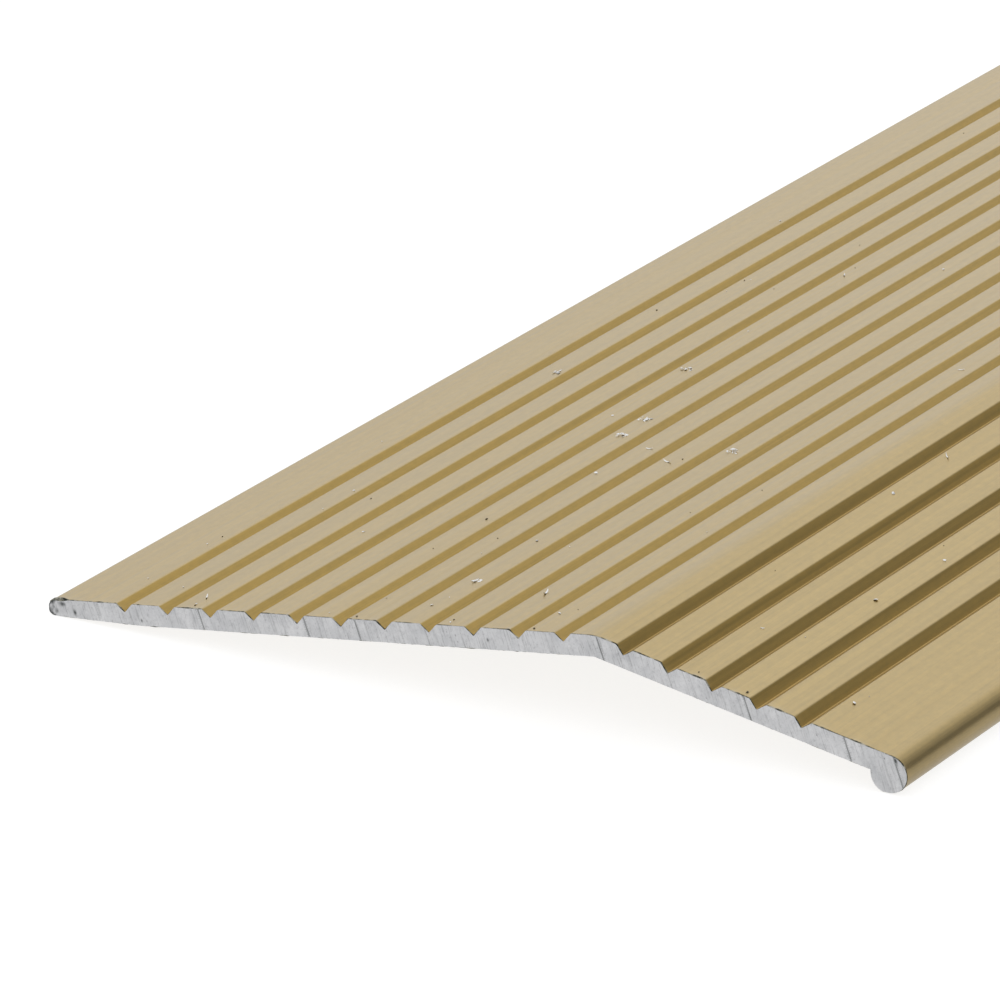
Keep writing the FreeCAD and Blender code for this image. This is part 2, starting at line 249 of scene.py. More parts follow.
def stretched_noise(nodes, links, scales, detail=3.0, roughness=0.6, lean=0.0):
    """Noise over the piece's own coordinates, with a scale per metre for each axis. The axes may lean
    about Y first."""
    place = nodes.new("ShaderNodeTexCoord").outputs["Object"]
    if lean:
        leaning = add_node(nodes, "ShaderNodeMapping", Rotation=(0, lean, 0))
        links.new(place, leaning.inputs["Vector"])
        place = leaning.outputs["Vector"]
    stretch = add_node(nodes, "ShaderNodeMapping", Scale=scales)
    links.new(place, stretch.inputs["Vector"])
    texture = add_node(nodes, "ShaderNodeTexNoise", Scale=1.0, Detail=detail, Roughness=roughness)
    links.new(stretch.outputs["Vector"], texture.inputs["Vector"])
    return texture.outputs["Fac"]


def ramp(nodes, links, source, stops):
    """Colours or greys picked by a value."""
    node = nodes.new("ShaderNodeValToRGB")
    elements = node.color_ramp.elements
    while len(elements) < len(stops):
        elements.new(0.5)
    for element, (position, color) in zip(elements, stops):
        element.position = position
        element.color = (*color, 1) if isinstance(color, tuple) else (color, color, color, 1)
    links.new(source, node.inputs["Fac"])
    return node.outputs["Color"]


def noise_ramp(nodes, links, source, low_color, high_color):
    """Two colours or greys blended by a noise."""
    low, high = NOISE_RANGE
    return ramp(nodes, links, source, ((low, low_color), (high, high_color)))


def map_range(nodes, links, source, span, to_low, to_high):
    """A value's span stretched to another one."""
    node = add_node(nodes, "ShaderNodeMapRange", From_Min=span[0], From_Max=span[1])
    node.inputs["To Min"].default_value = to_low
    node.inputs["To Max"].default_value = to_high
    links.new(source, node.inputs["Value"])
    return node.outputs["Result"]


def mix_colors(nodes, links, mode, factor, first, second):
    """Two colours mixed. The factor and the colours are sockets or plain settings."""
    node = nodes.new("ShaderNodeMix")
    node.data_type = "RGBA"
    node.blend_type = mode
    for index, setting in ((MIX_FACTOR, factor), (MIX_FIRST, first), (MIX_SECOND, second)):
        if isinstance(setting, bpy.types.NodeSocket):
            links.new(setting, node.inputs[index])
        else:
            node.inputs[index].default_value = setting
    return node.outputs[MIX_RESULT]


def multiply(nodes, links, color, tint, factor=1.0):
    """A colour tinted by another."""
    return mix_colors(nodes, links, "MULTIPLY", factor, color, tint)


def bump(nodes, links, height, strength, distance, normal=None):
    """A normal that follows a height, on top of another normal if one is given."""
    node = add_node(nodes, "ShaderNodeBump", Strength=strength, Distance=distance)
    links.new(height, node.inputs["Height"])
    if normal is not None:
        links.new(normal, node.inputs["Normal"])
    return node.outputs["Normal"]


# The gold of the lands and of the flutes, each with the deeper gold of its bands
LAND_GOLD = ((0.500, 0.374, 0.158, 1), (0.470, 0.348, 0.144, 1))
# The flutes' gold is more saturated than the lands': painted bounce light between the groove walls
FLUTE_GOLD_PAINTED_BOUNCE = ((0.555, 0.378, 0.101, 1), (0.505, 0.340, 0.087, 1))
# Noise scales per metre across, along and up. The first three are stretched along the strip
DRAWN_LINES = (5200, 8, 5200)
DRAWN_BANDS = (2600, 5, 2600)
MOTTLE = (3200, 1500, 3200)
SAW_SCRATCHES = (14000, 14000, 800)
SAW_CLOUD = (1600, 1600, 900)
SAW_SPECKLE = (7000, 7000, 7000)
EDGE_SHADE_PATCHES = (2500, 2500, 2500)
SLIVER_GRAIN = (6000, 6000, 6000)
GRIT_GRAIN = (9000, 9000, 9000)
BRASS_WEAR = (900, 900, 900)
FLOOR_GRAIN = (40, 40, 40)
FLOOR_MOTTLE = 0.03
LINE_RELIEF = 0.006 * MM
MOTTLE_RELIEF = 0.004 * MM
SCRATCH_RELIEF = 0.01 * MM
BRASS_RELIEF = 0.01 * MM
SAW_LEAN = math.radians(20.8)  # how far the saw's marks lean from upright


def anodised_material(name, gold, deep_gold):
    """Satin gold anodising over extruded metal: fine lines along the strip under a clear oxide skin."""
    material, nodes, links = new_material(name)
    shader = nodes["Principled BSDF"]
    shader.inputs["Metallic"].default_value = 1.0
    shader.inputs["Coat Weight"].default_value = 0.45
    shader.inputs["Coat Roughness"].default_value = 0.25
    shader.inputs["Coat IOR"].default_value = 1.45
    lines = stretched_noise(nodes, links, DRAWN_LINES, detail=5.0, roughness=0.7)
    bands = stretched_noise(nodes, links, DRAWN_BANDS, detail=2.0)
    mottle = stretched_noise(nodes, links, MOTTLE, detail=6.0, roughness=0.7)
    bands = map_range(nodes, links, bands, NOISE_RANGE, 0.0, 1.0)
    color = mix_colors(nodes, links, "MIX", bands, gold, deep_gold)
    mottle_tint = noise_ramp(nodes, links, mottle, (0.92, 0.93, 0.95), (1.06, 1.05, 1.02))
    color = multiply(nodes, links, color, mottle_tint)
    line_tint = ramp(nodes, links, lines, ((0.3, 0.86), (0.6, 1.04)))
    color = multiply(nodes, links, color, line_tint)
    links.new(color, shader.inputs["Base Color"])
    roughness = map_range(nodes, links, lines, NOISE_RANGE, 0.28, 0.42)
    links.new(roughness, shader.inputs["Roughness"])
    normal = bump(nodes, links, lines, 0.5, LINE_RELIEF)
    normal = bump(nodes, links, mottle, 0.2, MOTTLE_RELIEF, normal)
    links.new(normal, shader.inputs["Normal"])
    return material


def sawn_material():
    """Bare aluminium as the saw left it: bright, fine slanted scratches, painted shade in the tooth
    marks.
    """
    material, nodes, links = new_material("sawn_aluminium")
    shader = nodes["Principled BSDF"]
    shader.inputs["Metallic"].default_value = 1.0
    scratches = stretched_noise(nodes, links, SAW_SCRATCHES, detail=4.0, lean=SAW_LEAN)
    cloud = stretched_noise(nodes, links, SAW_CLOUD, detail=5.0, lean=SAW_LEAN)
    speckle = stretched_noise(nodes, links, SAW_SPECKLE, detail=4.0, roughness=0.7)
    color = noise_ramp(nodes, links, cloud, (0.70, 0.705, 0.72), (0.88, 0.88, 0.89))
    # Darker along the low lines of the scratches, where their bump sinks
    scratch_tone = ramp(nodes, links, scratches, ((0.34, 0.72), (0.46, 1.0)))
    color = multiply(nodes, links, color, scratch_tone, 0.8)
    spots = ramp(nodes, links, speckle, ((0.3, 0.78), (0.42, 0.97), (0.7, 1.05)))
    color = multiply(nodes, links, color, spots)
    # Painted shade: near black where the tooth marks, the pits and the nose's tears are cut deepest
    marks = nodes.new("ShaderNodeAttribute")
    marks.attribute_name = "saw_mark_shade"
    painted_mark_shade = ramp(nodes, links, marks.outputs["Fac"], ((0.05, 1.0), (0.9, (0.16, 0.17, 0.165))))
    links.new(multiply(nodes, links, color, painted_mark_shade), shader.inputs["Base Color"])
    roughness = map_range(nodes, links, scratches, NOISE_RANGE, 0.36, 0.5)
    links.new(roughness, shader.inputs["Roughness"])
    links.new(bump(nodes, links, scratches, 0.5, SCRATCH_RELIEF), shader.inputs["Normal"])
    return material


def painted_edge_shade_material():
    """Painted shade: a thin dark line along each sawn edge, in place of the darkness the burr gives
    there.
    """
    material, nodes, links = new_material("painted_edge_shade")
    shader = nodes["Principled BSDF"]
    shader.inputs["Metallic"].default_value = 0.9
    shader.inputs["Roughness"].default_value = 0.45
    patches = stretched_noise(nodes, links, EDGE_SHADE_PATCHES)
    stops = ((0.38, (0.035, 0.038, 0.03)), (0.5, (0.16, 0.16, 0.13)), (0.6, (0.45, 0.43, 0.36)))
    links.new(ramp(nodes, links, patches, stops), shader.inputs["Base Color"])
    return material


def sliver_material():
    """Freshly cut aluminium, for the slivers."""
    material, nodes, links = new_material("bright_sliver")
    shader = nodes["Principled BSDF"]
    shader.inputs["Metallic"].default_value = 1.0
    grain = stretched_noise(nodes, links, SLIVER_GRAIN)
    links.new(noise_ramp(nodes, links, grain, 0.75, 0.95), shader.inputs["Base Color"])
    links.new(map_range(nodes, links, grain, NOISE_RANGE, 0.2, 0.5), shader.inputs["Roughness"])
    return material


def grit_material():
    """Dark cutting dust."""
    material, nodes, links = new_material("dark_grit")
    shader = nodes["Principled BSDF"]
    shader.inputs["Roughness"].default_value = 0.8
    grain = stretched_noise(nodes, links, GRIT_GRAIN)
    color = noise_ramp(nodes, links, grain, (0.05, 0.04, 0.022), (0.15, 0.12, 0.07))
    links.new(color, shader.inputs["Base Color"])
    return material


def brass_material():
    """Brass-plated steel screws, a little dulled where they were handled."""
    material, nodes, links = new_material("brass_plate")
    shader = nodes["Principled BSDF"]
    shader.inputs["Metallic"].default_value = 1.0
    wear = stretched_noise(nodes, links, BRASS_WEAR, detail=5.0)
    color = ramp(nodes, links, wear, ((0.35, (0.50, 0.36, 0.14)), (0.65, (0.66, 0.48, 0.20))))
    links.new(color, shader.inputs["Base Color"])
    links.new(map_range(nodes, links, wear, NOISE_RANGE, 0.24, 0.42), shader.inputs["Roughness"])
    links.new(bump(nodes, links, wear, 0.15, BRASS_RELIEF), shader.inputs["Normal"])
    return material


def floor_material(name, albedo, glow):
    """A pale table that returns part of the light and gives some of its own."""
    material, nodes, links = new_material(name)
    shader = nodes["Principled BSDF"]
    shader.inputs["Roughness"].default_value = 0.8
    shader.inputs["Specular IOR Level"].default_value = 0.1
    shader.inputs["Emission Color"].default_value = (1, 1, 1, 1)
    shader.inputs["Emission Strength"].default_value = glow
    grain = stretched_noise(nodes, links, FLOOR_GRAIN)
    darker, paler = albedo * (1 - FLOOR_MOTTLE), albedo * (1 + FLOOR_MOTTLE)
    links.new(noise_ramp(nodes, links, grain, darker, paler), shader.inputs["Base Color"])
    return material


# The strip's mesh

# Distances of the rings from a sawn end, and how far each stands out there as a share of the burr
END_RINGS = (
    (0.0, -0.6),
    (0.06 * MM, 1.0),
    (0.16 * MM, 0.45),
    (0.35 * MM, 0.1),
    (0.7 * MM, 0.0),
    (3.0 * MM, 0.0),
)
HOLE_MARGIN = 5.0 * MM
BURR = 0.036 * MM
BURR_BASE = 0.4  # the share of the burr that stands everywhere, and how far it swings about that
BURR_SWING = 0.9
BURR_DETAIL = 900  # ripples of the burr per metre, and how many times finer its fine ones are
BURR_FINENESS = 5
NOSE_BURR = 0.13 * MM  # the bigger lump the saw left on the nose
NOSE_BURR_PLACE = 0.7 * MM
NOSE_BURR_SPREAD = 0.36 * MM
NEAR_SEED = 3
FAR_SEED = 8

# Tooth marks. The faint ones and the small pits fall at random
FAINT_MARKS = 44
FAINT_MARK_WIDTHS = (0.028, 0.045)  # in mm
FAINT_MARK_DEPTHS = (0.1, 0.17, 0.28)  # shares of the deepest
FAINT_MARK_MIDDLES = (-0.3, 0.3)  # in leg thicknesses from the middle of the metal
FAINT_MARK_REACHES = (0.3, 1.6)  # in leg thicknesses
DEEP_MARK_DEPTH = 0.85
DEEP_MARK_WIDTH = 0.035 * MM
DEEP_MARK_REACH = 1.6  # in leg thicknesses
MARK_CUTOFF = 3  # a mark ends at this many of its widths, and a pit at this many of its radii
# Where the few deep tooth marks cross the middle of the metal, from the crest, below 0 on the long leg
NEAR_END_MARKS = (-23.5 * MM, -17.1 * MM, -14.0 * MM, 0.3 * MM, 8.8 * MM, 14.5 * MM, 17.3 * MM)
FAR_END_MARKS = (-26.0 * MM, -19.5 * MM, -8.2 * MM, 3.4 * MM, 11.7 * MM)
# The near end's two deep pits, on the nose and the bulb: the place, and the height above mid-metal
NEAR_END_PITS = ((-31.3 * MM, -0.1 * MM), (17.2 * MM, 0.4 * MM))
DEEP_PIT_RADIUS = 0.12 * MM
SMALL_PITS = 16
SMALL_PIT_RADII = (0.035, 0.075)  # in mm
SMALL_PIT_DEPTHS = (0.3, 0.5, 0.85)
SMALL_PIT_RISES = (-0.35, 0.35)  # in leg thicknesses from the middle of the metal
PIT_WIDTH = 0.75  # pits are narrow across the blade's way and long along it
PIT_LENGTH = 1.45
TORN_NOSE_REACH = 1.5 * MM
TORN_NOSE_DETAIL = 3500
TORN_NOSE_GAIN = 3.0
DARK_RIM_START = 0.78  # the nose's rim of painted shade starts at this share of its radius
DARK_RIM_GAIN = 5
DARK_RIM_DEPTH = 0.9
SAW_RIDGE = 0.012 * MM
SAW_GROOVE = 0.03 * MM
# The ridges' broad and fine waves: share of the height, and ripples per mm across the marks and along
RIDGE_WAVES = ((0.6, 1.6, 0.12), (0.4, 5.0, 0.2))

# Points inside a sawn end: their spacing across the saw's marks, the same near the nose, their spacing
# along the marks, the least between two columns, and how far they keep from the edge
GRID_ACROSS = 0.12 * MM
GRID_NOSE = 0.07 * MM
GRID_ALONG = 0.13 * MM
GRID_CLOSEST = 0.012 * MM
EDGE_CLEARANCE = 0.05 * MM
GROOVE_SHARES = (-1.7, -0.8, 0.0, 0.8, 1.7)  # extra columns over each mark, in its widths
PIT_RINGS = ((0.5, 6), (1.0, 9), (1.6, 9))  # extra rings round each pit: in its radii, and their points
TRIANGLES_INSIDE = 1  # asks delaunay_2d_cdt for the triangles inside the outline only
CLOSE_ENOUGH = 1e-9

END_NORMAL = 0.9  # an end's face points along Y at least this much
STRIP_SHARP_ANGLE = math.radians(38)
SCREW_SHARP_ANGLE = math.radians(30)
SIDE_SLOT, CUT_SLOT, EDGE_SHADE_SLOT, HOLE_SLOT, FLUTE_BOUNCE_SLOT = range(5)


def blade_axes():
    """Unit vectors of the section across the saw's marks and along them."""
    across = Vector((math.cos(SAW_LEAN), math.sin(SAW_LEAN)))
    return across, Vector((-across.y, across.x))


def outward_normals(outline):
    """Unit vectors out of the outline at each of its points."""
    normals = []
    for i in range(len(outline)):
        chord = outline[(i + 1) % len(outline)] - outline[i - 1]
        normals.append(Vector((chord.y, -chord.x)).normalized())
    return normals


def edge_wave(point, seed):
    """How much burr the saw left at a point of the outline: 0 to about 1, and more at the nose."""
    x, y = point.x * BURR_DETAIL, point.y * BURR_DETAIL
    broad = noise.noise(Vector((x, y, seed)))
    fine = noise.noise(Vector((x * BURR_FINENESS, y * BURR_FINENESS, seed)))
    lump = 0.0
    if point.y > NOSE_TOP_RADIUS:
        lump = math.exp(-(((point.x - NOSE_X - NOSE_BURR_PLACE) / NOSE_BURR_SPREAD) ** 2))
    return max(0.0, BURR_BASE + BURR_SWING * broad + BURR_SWING * fine) + lump * NOSE_BURR / BURR


class Blade:
    """The relief a saw leaves on one end: leaning ridges, faint and deep tooth marks, and pits."""

    def __init__(self, seed, deep_marks, deep_pits):
        chance = random.Random(seed)
        across_axis, _ = blade_axes()
        self.seed = seed
        self.grooves = []
        reach = DEEP_MARK_REACH * LEG_THICKNESS
        for x in deep_marks:
            across = Vector((x, mid_height(x))).dot(across_axis)
            self.grooves.append((across, DEEP_MARK_WIDTH, DEEP_MARK_DEPTH, 0.0, reach))
        for _ in range(FAINT_MARKS):
            across = chance.uniform(NOSE_X, BULB_X)
            width = chance.uniform(*FAINT_MARK_WIDTHS) * MM
            depth = chance.choice(FAINT_MARK_DEPTHS)
            middle = chance.uniform(*FAINT_MARK_MIDDLES) * LEG_THICKNESS
            reach = chance.uniform(*FAINT_MARK_REACHES) * LEG_THICKNESS
            self.grooves.append((across, width, depth, middle, reach))
        self.pits = []
        for x, rise in deep_pits:
            self.pits.append((Vector((x, mid_height(x) + rise)), DEEP_PIT_RADIUS, 1.0))
        for _ in range(SMALL_PITS):
            x = chance.uniform(NOSE_X, BULB_X)
            rise = chance.uniform(*SMALL_PIT_RISES) * LEG_THICKNESS
            radius = chance.uniform(*SMALL_PIT_RADII) * MM
            depth = chance.choice(SMALL_PIT_DEPTHS)
            self.pits.append((Vector((x, mid_height(x) + rise)), radius, depth))

    def columns(self, low, high):
        """Where the end's points stand across the marks: finer over each mark and near the nose."""
        fine = []
        for across, width, *_ in self.grooves:
            fine += [across + share * width for share in GROOVE_SHARES]
        places = []
        across = low
        while across < high:
            across += GRID_NOSE if across < low + TORN_NOSE_REACH else GRID_ACROSS
            if all(abs(across - place) > GRID_ACROSS / 2 for place in fine):
                places.append(across)
        spaced = []
        for place in sorted(places + fine):
            if low < place < high and (not spaced or place - spaced[-1] > GRID_CLOSEST):
                spaced.append(place)
        return spaced

    def pit_points(self):
        """Extra points in and round the pits."""
        points = []
        for place, radius, _ in self.pits:
            points.append(place)
            for share, count in PIT_RINGS:
                for i in range(count):
                    angle = math.tau * (i + share) / count
                    spoke = Vector((math.cos(angle), math.sin(angle)))
                    points.append(place + spoke * share * radius)
        return points

    def mark(self, point):
        """How deep the tooth marks and the nose's tears are at a point, from 0 to 1."""
        across_axis, along_axis = blade_axes()
        across = point.dot(across_axis)
        along = (point - Vector((point.x, mid_height(point.x)))).dot(along_axis)
        deepest = self.torn_nose(point)
        for place, width, depth, middle, reach in self.grooves:
            gap = (across - place) / width
            if abs(gap) < MARK_CUTOFF:
                fade = max(0.0, 1 - ((along - middle) / reach) ** 4)
                deepest = max(deepest, depth * fade * math.exp(-gap * gap))
        for place, radius, depth in self.pits:
            offset = (point - place) / radius
            sideways = offset.dot(across_axis) / PIT_WIDTH
            away = Vector((sideways, offset.dot(along_axis) / PIT_LENGTH)).length
            if away < MARK_CUTOFF:
                deepest = max(deepest, depth * math.exp(-away * away))
        return deepest

    def torn_nose(self, point):
        """Patches the saw tore where the thin nose bent, and a rim round its tip, both painted dark as
        shade.
        """
        near = max(0.0, 1 - (point.x - NOSE_X) / TORN_NOSE_REACH)
        place = Vector((point.x, point.y, 0)) * TORN_NOSE_DETAIL
        patch = noise.noise(place + Vector((0, 0, self.seed)))
        spoke = point - Vector((NOSE_X + NOSE_TOP_RADIUS, NOSE_TOP_RADIUS))
        rim = 0.0
        if spoke.x < 0:
            rim = max(0.0, spoke.length / NOSE_TOP_RADIUS - DARK_RIM_START) * DARK_RIM_GAIN
        return min(1.0, near * max(0.0, TORN_NOSE_GAIN * patch) + min(DARK_RIM_DEPTH, rim))

    def height(self, point, mark):
        """How far the metal stands out at a point: the ridges, less what the marks took away."""
        across_axis, along_axis = blade_axes()
        across = point.dot(across_axis) / MM
        along = point.dot(along_axis) / MM
        ridges = 0.0
        for i, (share, across_rate, along_rate) in enumerate(RIDGE_WAVES):
            place = Vector((across * across_rate, along * along_rate, self.seed + 5 * i))
            ridges += share * noise.noise(place)
        return SAW_RIDGE * ridges - SAW_GROOVE * mark


def in_flute(point):
    """Whether a point of the outline is on a flute's wall, below the lips."""
    slope = leg_slope(point.x)
    depth = (CREST - math.tan(slope) * abs(point.x) - point.y) * math.cos(slope)
    fluted = NOSE_X + NOSE_TAPER / 2 < point.x < BULB_CENTRE.x - BULB_RADIUS
    return fluted and FLUTE_BOUNCE_START < depth < FLUTE_DEPTH + FLUTE_BOUNCE_START


def mid_height(x):
    """Height of the middle of the metal at a place across the strip."""
    return CREST - math.tan(leg_slope(x)) * abs(x) - LEG_THICKNESS / 2


def inner_points(outline, blade):
    """Points inside the outline and clear of its edge, in columns that lean with the marks."""
    across_axis, along_axis = blade_axes()
    ring = [Vector((point.dot(across_axis), point.dot(along_axis))) for point in outline]
    edge = KDTree(len(ring))
    for i, point in enumerate(outline):
        edge.insert(point.to_3d(), i)
    edge.balance()
    low = min(point.x for point in ring)
    high = max(point.x for point in ring)
    points = blade.pit_points()
    for column, across in enumerate(blade.columns(low, high)):
        crossings = sorted(
            a.y + (b.y - a.y) * (across - a.x) / (b.x - a.x)
            for a, b in zip(ring, ring[1:] + ring[:1])
            if (a.x > across) != (b.x > across)
        )
        shift = (column % 2) / 2
        for bottom, top in zip(crossings[::2], crossings[1::2]):
            first = math.ceil(bottom / GRID_ALONG - shift)
            for row in range(first, math.floor(top / GRID_ALONG - shift) + 1):
                points.append(across_axis * across + along_axis * (row + shift) * GRID_ALONG)
    return [point for point in points if edge.find(point.to_3d())[2] > EDGE_CLEARANCE]


def close_end(bm, cap, outward, blade):
    """Replace a plain sawn end by small triangles that carry the saw's relief."""
    marks = bm.verts.layers.float.get("saw_mark_shade")
    ring = [loop.vert for loop in cap.loops]
    bm.faces.remove(cap)
    outline = [Vector((vert.co.x, vert.co.z)) for vert in ring]
    count = len(outline)
    rim = [(i, (i + 1) % count) for i in range(count)]
    inner = inner_points(outline, blade)
    made = delaunay_2d_cdt(outline + inner, rim, [], TRIANGLES_INSIDE, CLOSE_ENOUGH)
    points, _, faces, origins, _, _ = made
    # Each point keeps the depth of its mark, which the sawn material paints as shade
    for vert, point in zip(ring, outline):
        vert[marks] = blade.mark(point)
    verts = []
    for point, origin in zip(points, origins):
        on_rim = [i for i in origin if i < count]
        if on_rim:
            verts.append(ring[on_rim[0]])
            continue
        mark = blade.mark(point)
        y = ring[0].co.y + outward * blade.height(point, mark)
        vert = bm.verts.new((point.x, y, point.y))
        vert[marks] = mark
        verts.append(vert)
    for face in faces:
        corners = [verts[i] for i in face]
        if outward > 0:
            corners.reverse()
        if len(set(corners)) == 3:
            bm.faces.new(corners).material_index = CUT_SLOT


def new_object(name, bm):
    """An object, not yet in the scene, that holds a finished mesh."""
    mesh = bpy.data.meshes.new(name)
    bm.to_mesh(mesh)
    bm.free()
    return bpy.data.objects.new(name, mesh)


def make_strip(holes):
    """The strip with plain ends: the section repeated along Y, with the burrs and no holes yet."""
    outline = section()
    normals = outward_normals(outline)
    rings = []
    for sign, end, seed in ((1, NEAR_END, NEAR_SEED), (-1, FAR_END, FAR_SEED)):
        waves = [edge_wave(point, seed) for point in outline]
        for step, share in END_RINGS:
            rings.append((end + sign * step, [BURR * share * wave for wave in waves]))
    flat = [0.0] * len(outline)
    for centre, _ in holes:
        rings += [(centre.y - HOLE_MARGIN, flat), (centre.y + HOLE_MARGIN, flat)]
    rings.sort(key=lambda ring: ring[0])

    bm = bmesh.new()
    bm.verts.layers.float.new("saw_mark_shade")
    made = []
    for y, offsets in rings:
        verts = []
        for point, normal, offset in zip(outline, normals, offsets):
            moved = point + normal * offset
            verts.append(bm.verts.new((moved.x, y, max(moved.y, strip_low.z))))
        made.append(verts)
    for i, (near, far) in enumerate(zip(made, made[1:])):
        # The spans next to each sawn end take the painted shade line of the edge
        edge_shade = i in (0, len(made) - 2)
        for j, point in enumerate(outline):
            following = (j + 1) % len(near)
            face = bm.faces.new((near[j], near[following], far[following], far[j]))
            if edge_shade:
                face.material_index = EDGE_SHADE_SLOT
            # Flute walls take the gold with painted bounce light
            elif outline[following].y > point.y and in_flute(point.lerp(outline[following], 0.5)):
                face.material_index = FLUTE_BOUNCE_SLOT
    for ring in (made[0], made[-1]):
        bm.faces.new(ring).material_index = CUT_SLOT
    bmesh.ops.recalc_face_normals(bm, faces=bm.faces)
    strip = new_object("fluted_strip", bm)
    bpy.context.collection.objects.link(strip)
    return strip


def saw_ends(strip):
    """Give both plain ends the relief of their own cut."""
    near_blade = Blade(NEAR_SEED, NEAR_END_MARKS, NEAR_END_PITS)
    far_blade = Blade(FAR_SEED, FAR_END_MARKS, ())
    bm = bmesh.new()
    bm.from_mesh(strip.data)
    cuts = [face for face in bm.faces if face.material_index == CUT_SLOT]
    for cap in [face for face in cuts if abs(face.normal.y) > END_NORMAL]:
        outward = math.copysign(1, cap.normal.y)
        close_end(bm, cap, outward, near_blade if outward < 0 else far_blade)
    bmesh.ops.recalc_face_normals(bm, faces=bm.faces)
    bm.to_mesh(strip.data)
    bm.free()


def screw_holes():
    """Each hole's axis and the middle of its mouth on the leg's face, from the mounts of the screws."""
    holes = []
    for mount in frame["record"]["mounts"]:
        if "_shank_" not in mount["name"]:
            continue
        place = Vector(mount["pos_m"])
        axis = leg_normal(1 if mount["name"].startswith("short") else -1)
        rise = (Vector((0, 0, CREST)) - place).dot(axis)
        holes.append((place + axis * rise, axis))
    return holes


def countersink(centre, axis):
    """A closed cone, upright above the leg's face, that cuts one countersunk hole through the leg."""
    bm = bmesh.new()
    turn = axis.to_track_quat("Z", "X").to_matrix()
    rings = []
    for level in (LEG_THICKNESS, 0.0, -1.5 * LEG_THICKNESS):
        radius = COUNTERSINK_RADIUS + min(level, 0.0) * math.tan(CONE_HALF_ANGLE)
        ring = []
        for i in range(COUNTERSINK_SIDES):
            angle = math.tau * i / COUNTERSINK_SIDES
            spoke = Vector((radius * math.cos(angle), radius * math.sin(angle), level))
            ring.append(bm.verts.new(centre + turn @ spoke))
        rings.append(ring)
    for upper, lower in zip(rings, rings[1:]):
        for i in range(COUNTERSINK_SIDES):
            following = (i + 1) % COUNTERSINK_SIDES
            bm.faces.new((upper[i], lower[i], lower[following], upper[following]))
    bm.faces.new(rings[0])
    bm.faces.new(reversed(rings[-1]))
    for face in bm.faces:
        face.material_index = HOLE_SLOT
    bmesh.ops.recalc_face_normals(bm, faces=bm.faces)
    return new_object("countersink", bm)


def cut_holes(strip, holes):
    """Cut the countersinks and keep the result as the strip's own mesh."""
    cutters = bpy.data.collections.new("cutters")
    bpy.context.scene.collection.children.link(cutters)
    for centre, axis in holes:
        cutter = countersink(centre, axis)
        for material in strip.data.materials:
            cutter.data.materials.append(material)
        cutters.objects.link(cutter)
    cut = strip.modifiers.new("holes", "BOOLEAN")
    cut.operand_type = "COLLECTION"
    cut.collection = cutters
    cut.solver = "EXACT"
    graph = bpy.context.evaluated_depsgraph_get()
    mesh = bpy.data.meshes.new_from_object(strip.evaluated_get(graph))
    strip.modifiers.clear()
    strip.data = mesh
    for cutter in list(cutters.objects):
        bpy.data.objects.remove(cutter)
    bpy.data.collections.remove(cutters)


# Slivers and grit that the saw left on top

SLIVERS = 8
FLAKES = 56
CLUMPS = 9
GRIT = 44
SLIVER_SEED = 21
GRIT_SEED = 5
DEBRIS_START = 0.4 * MM  # how near the sawn end the debris starts, and how far from there it reaches
DEBRIS_REACH = 170 * MM
DEBRIS_CROWDING = 2.2  # above 1, more of it lies near the end
LAND_SHARE = 0.22  # it lies within this share of a flute's pitch from a land's middle

# Sizes in mm, and the rest as shares or angles
SLIVER_LENGTHS = (0.25, 0.7)
SLIVER_WIDTHS = (0.05, 0.12)
SLIVER_CURLS = (0.6, 2.2)
SLIVER_THICKNESS = 0.02
SLIVER_STEPS = 7
SLIVER_NARROWING = 0.75
FLAKE_RADIUS = 0.045
FLAKE_GROWTH = 0.15
FLAKE_THICKNESS = 0.018
FLAKE_CORNERS = 7
FLAKE_TILTS = (0.05, 0.5)
FLAKE_STRETCHES = (0.35, 1.0)
FLAKE_RAGGEDNESS = (0.55, 1.1)
FLAKE_CROWN = 2.2
FLAKES_IN_CLUMP = 5
GRIT_RADIUS = 0.025
GRIT_GROWTH = 0.04
GRIT_LUMPS = 1.3
GRIT_STRETCH = 1.5
GRIT_FLATNESS = 0.6
SITTING = 0.3  # a flake or a crumb is lifted off the surface by this share of its radius


def on_top(chance):
    """A random place on a land near the sawn end: the point, and the normal of its leg. Two in three
    places are on the long leg."""
    side = chance.choice((-1, -1, 1))
    count, first, pitch = LONG_FLUTES if side < 0 else SHORT_FLUTES
    land = chance.randrange(count)
    distance = first + (land + 0.5 + chance.uniform(-LAND_SHARE, LAND_SHARE)) * pitch
    y = NEAR_END + DEBRIS_START + DEBRIS_REACH * chance.random() ** DEBRIS_CROWDING
    point = down_leg(side, distance)
    return Vector((point.x, y, point.y)), leg_normal(side)


def lying(chance, normal):
    """A rotation that lays a piece's own Z along the normal and turns it a random way round."""
    return normal.to_track_quat("Z", "X") @ Quaternion((0, 0, 1), chance.uniform(0, math.tau))


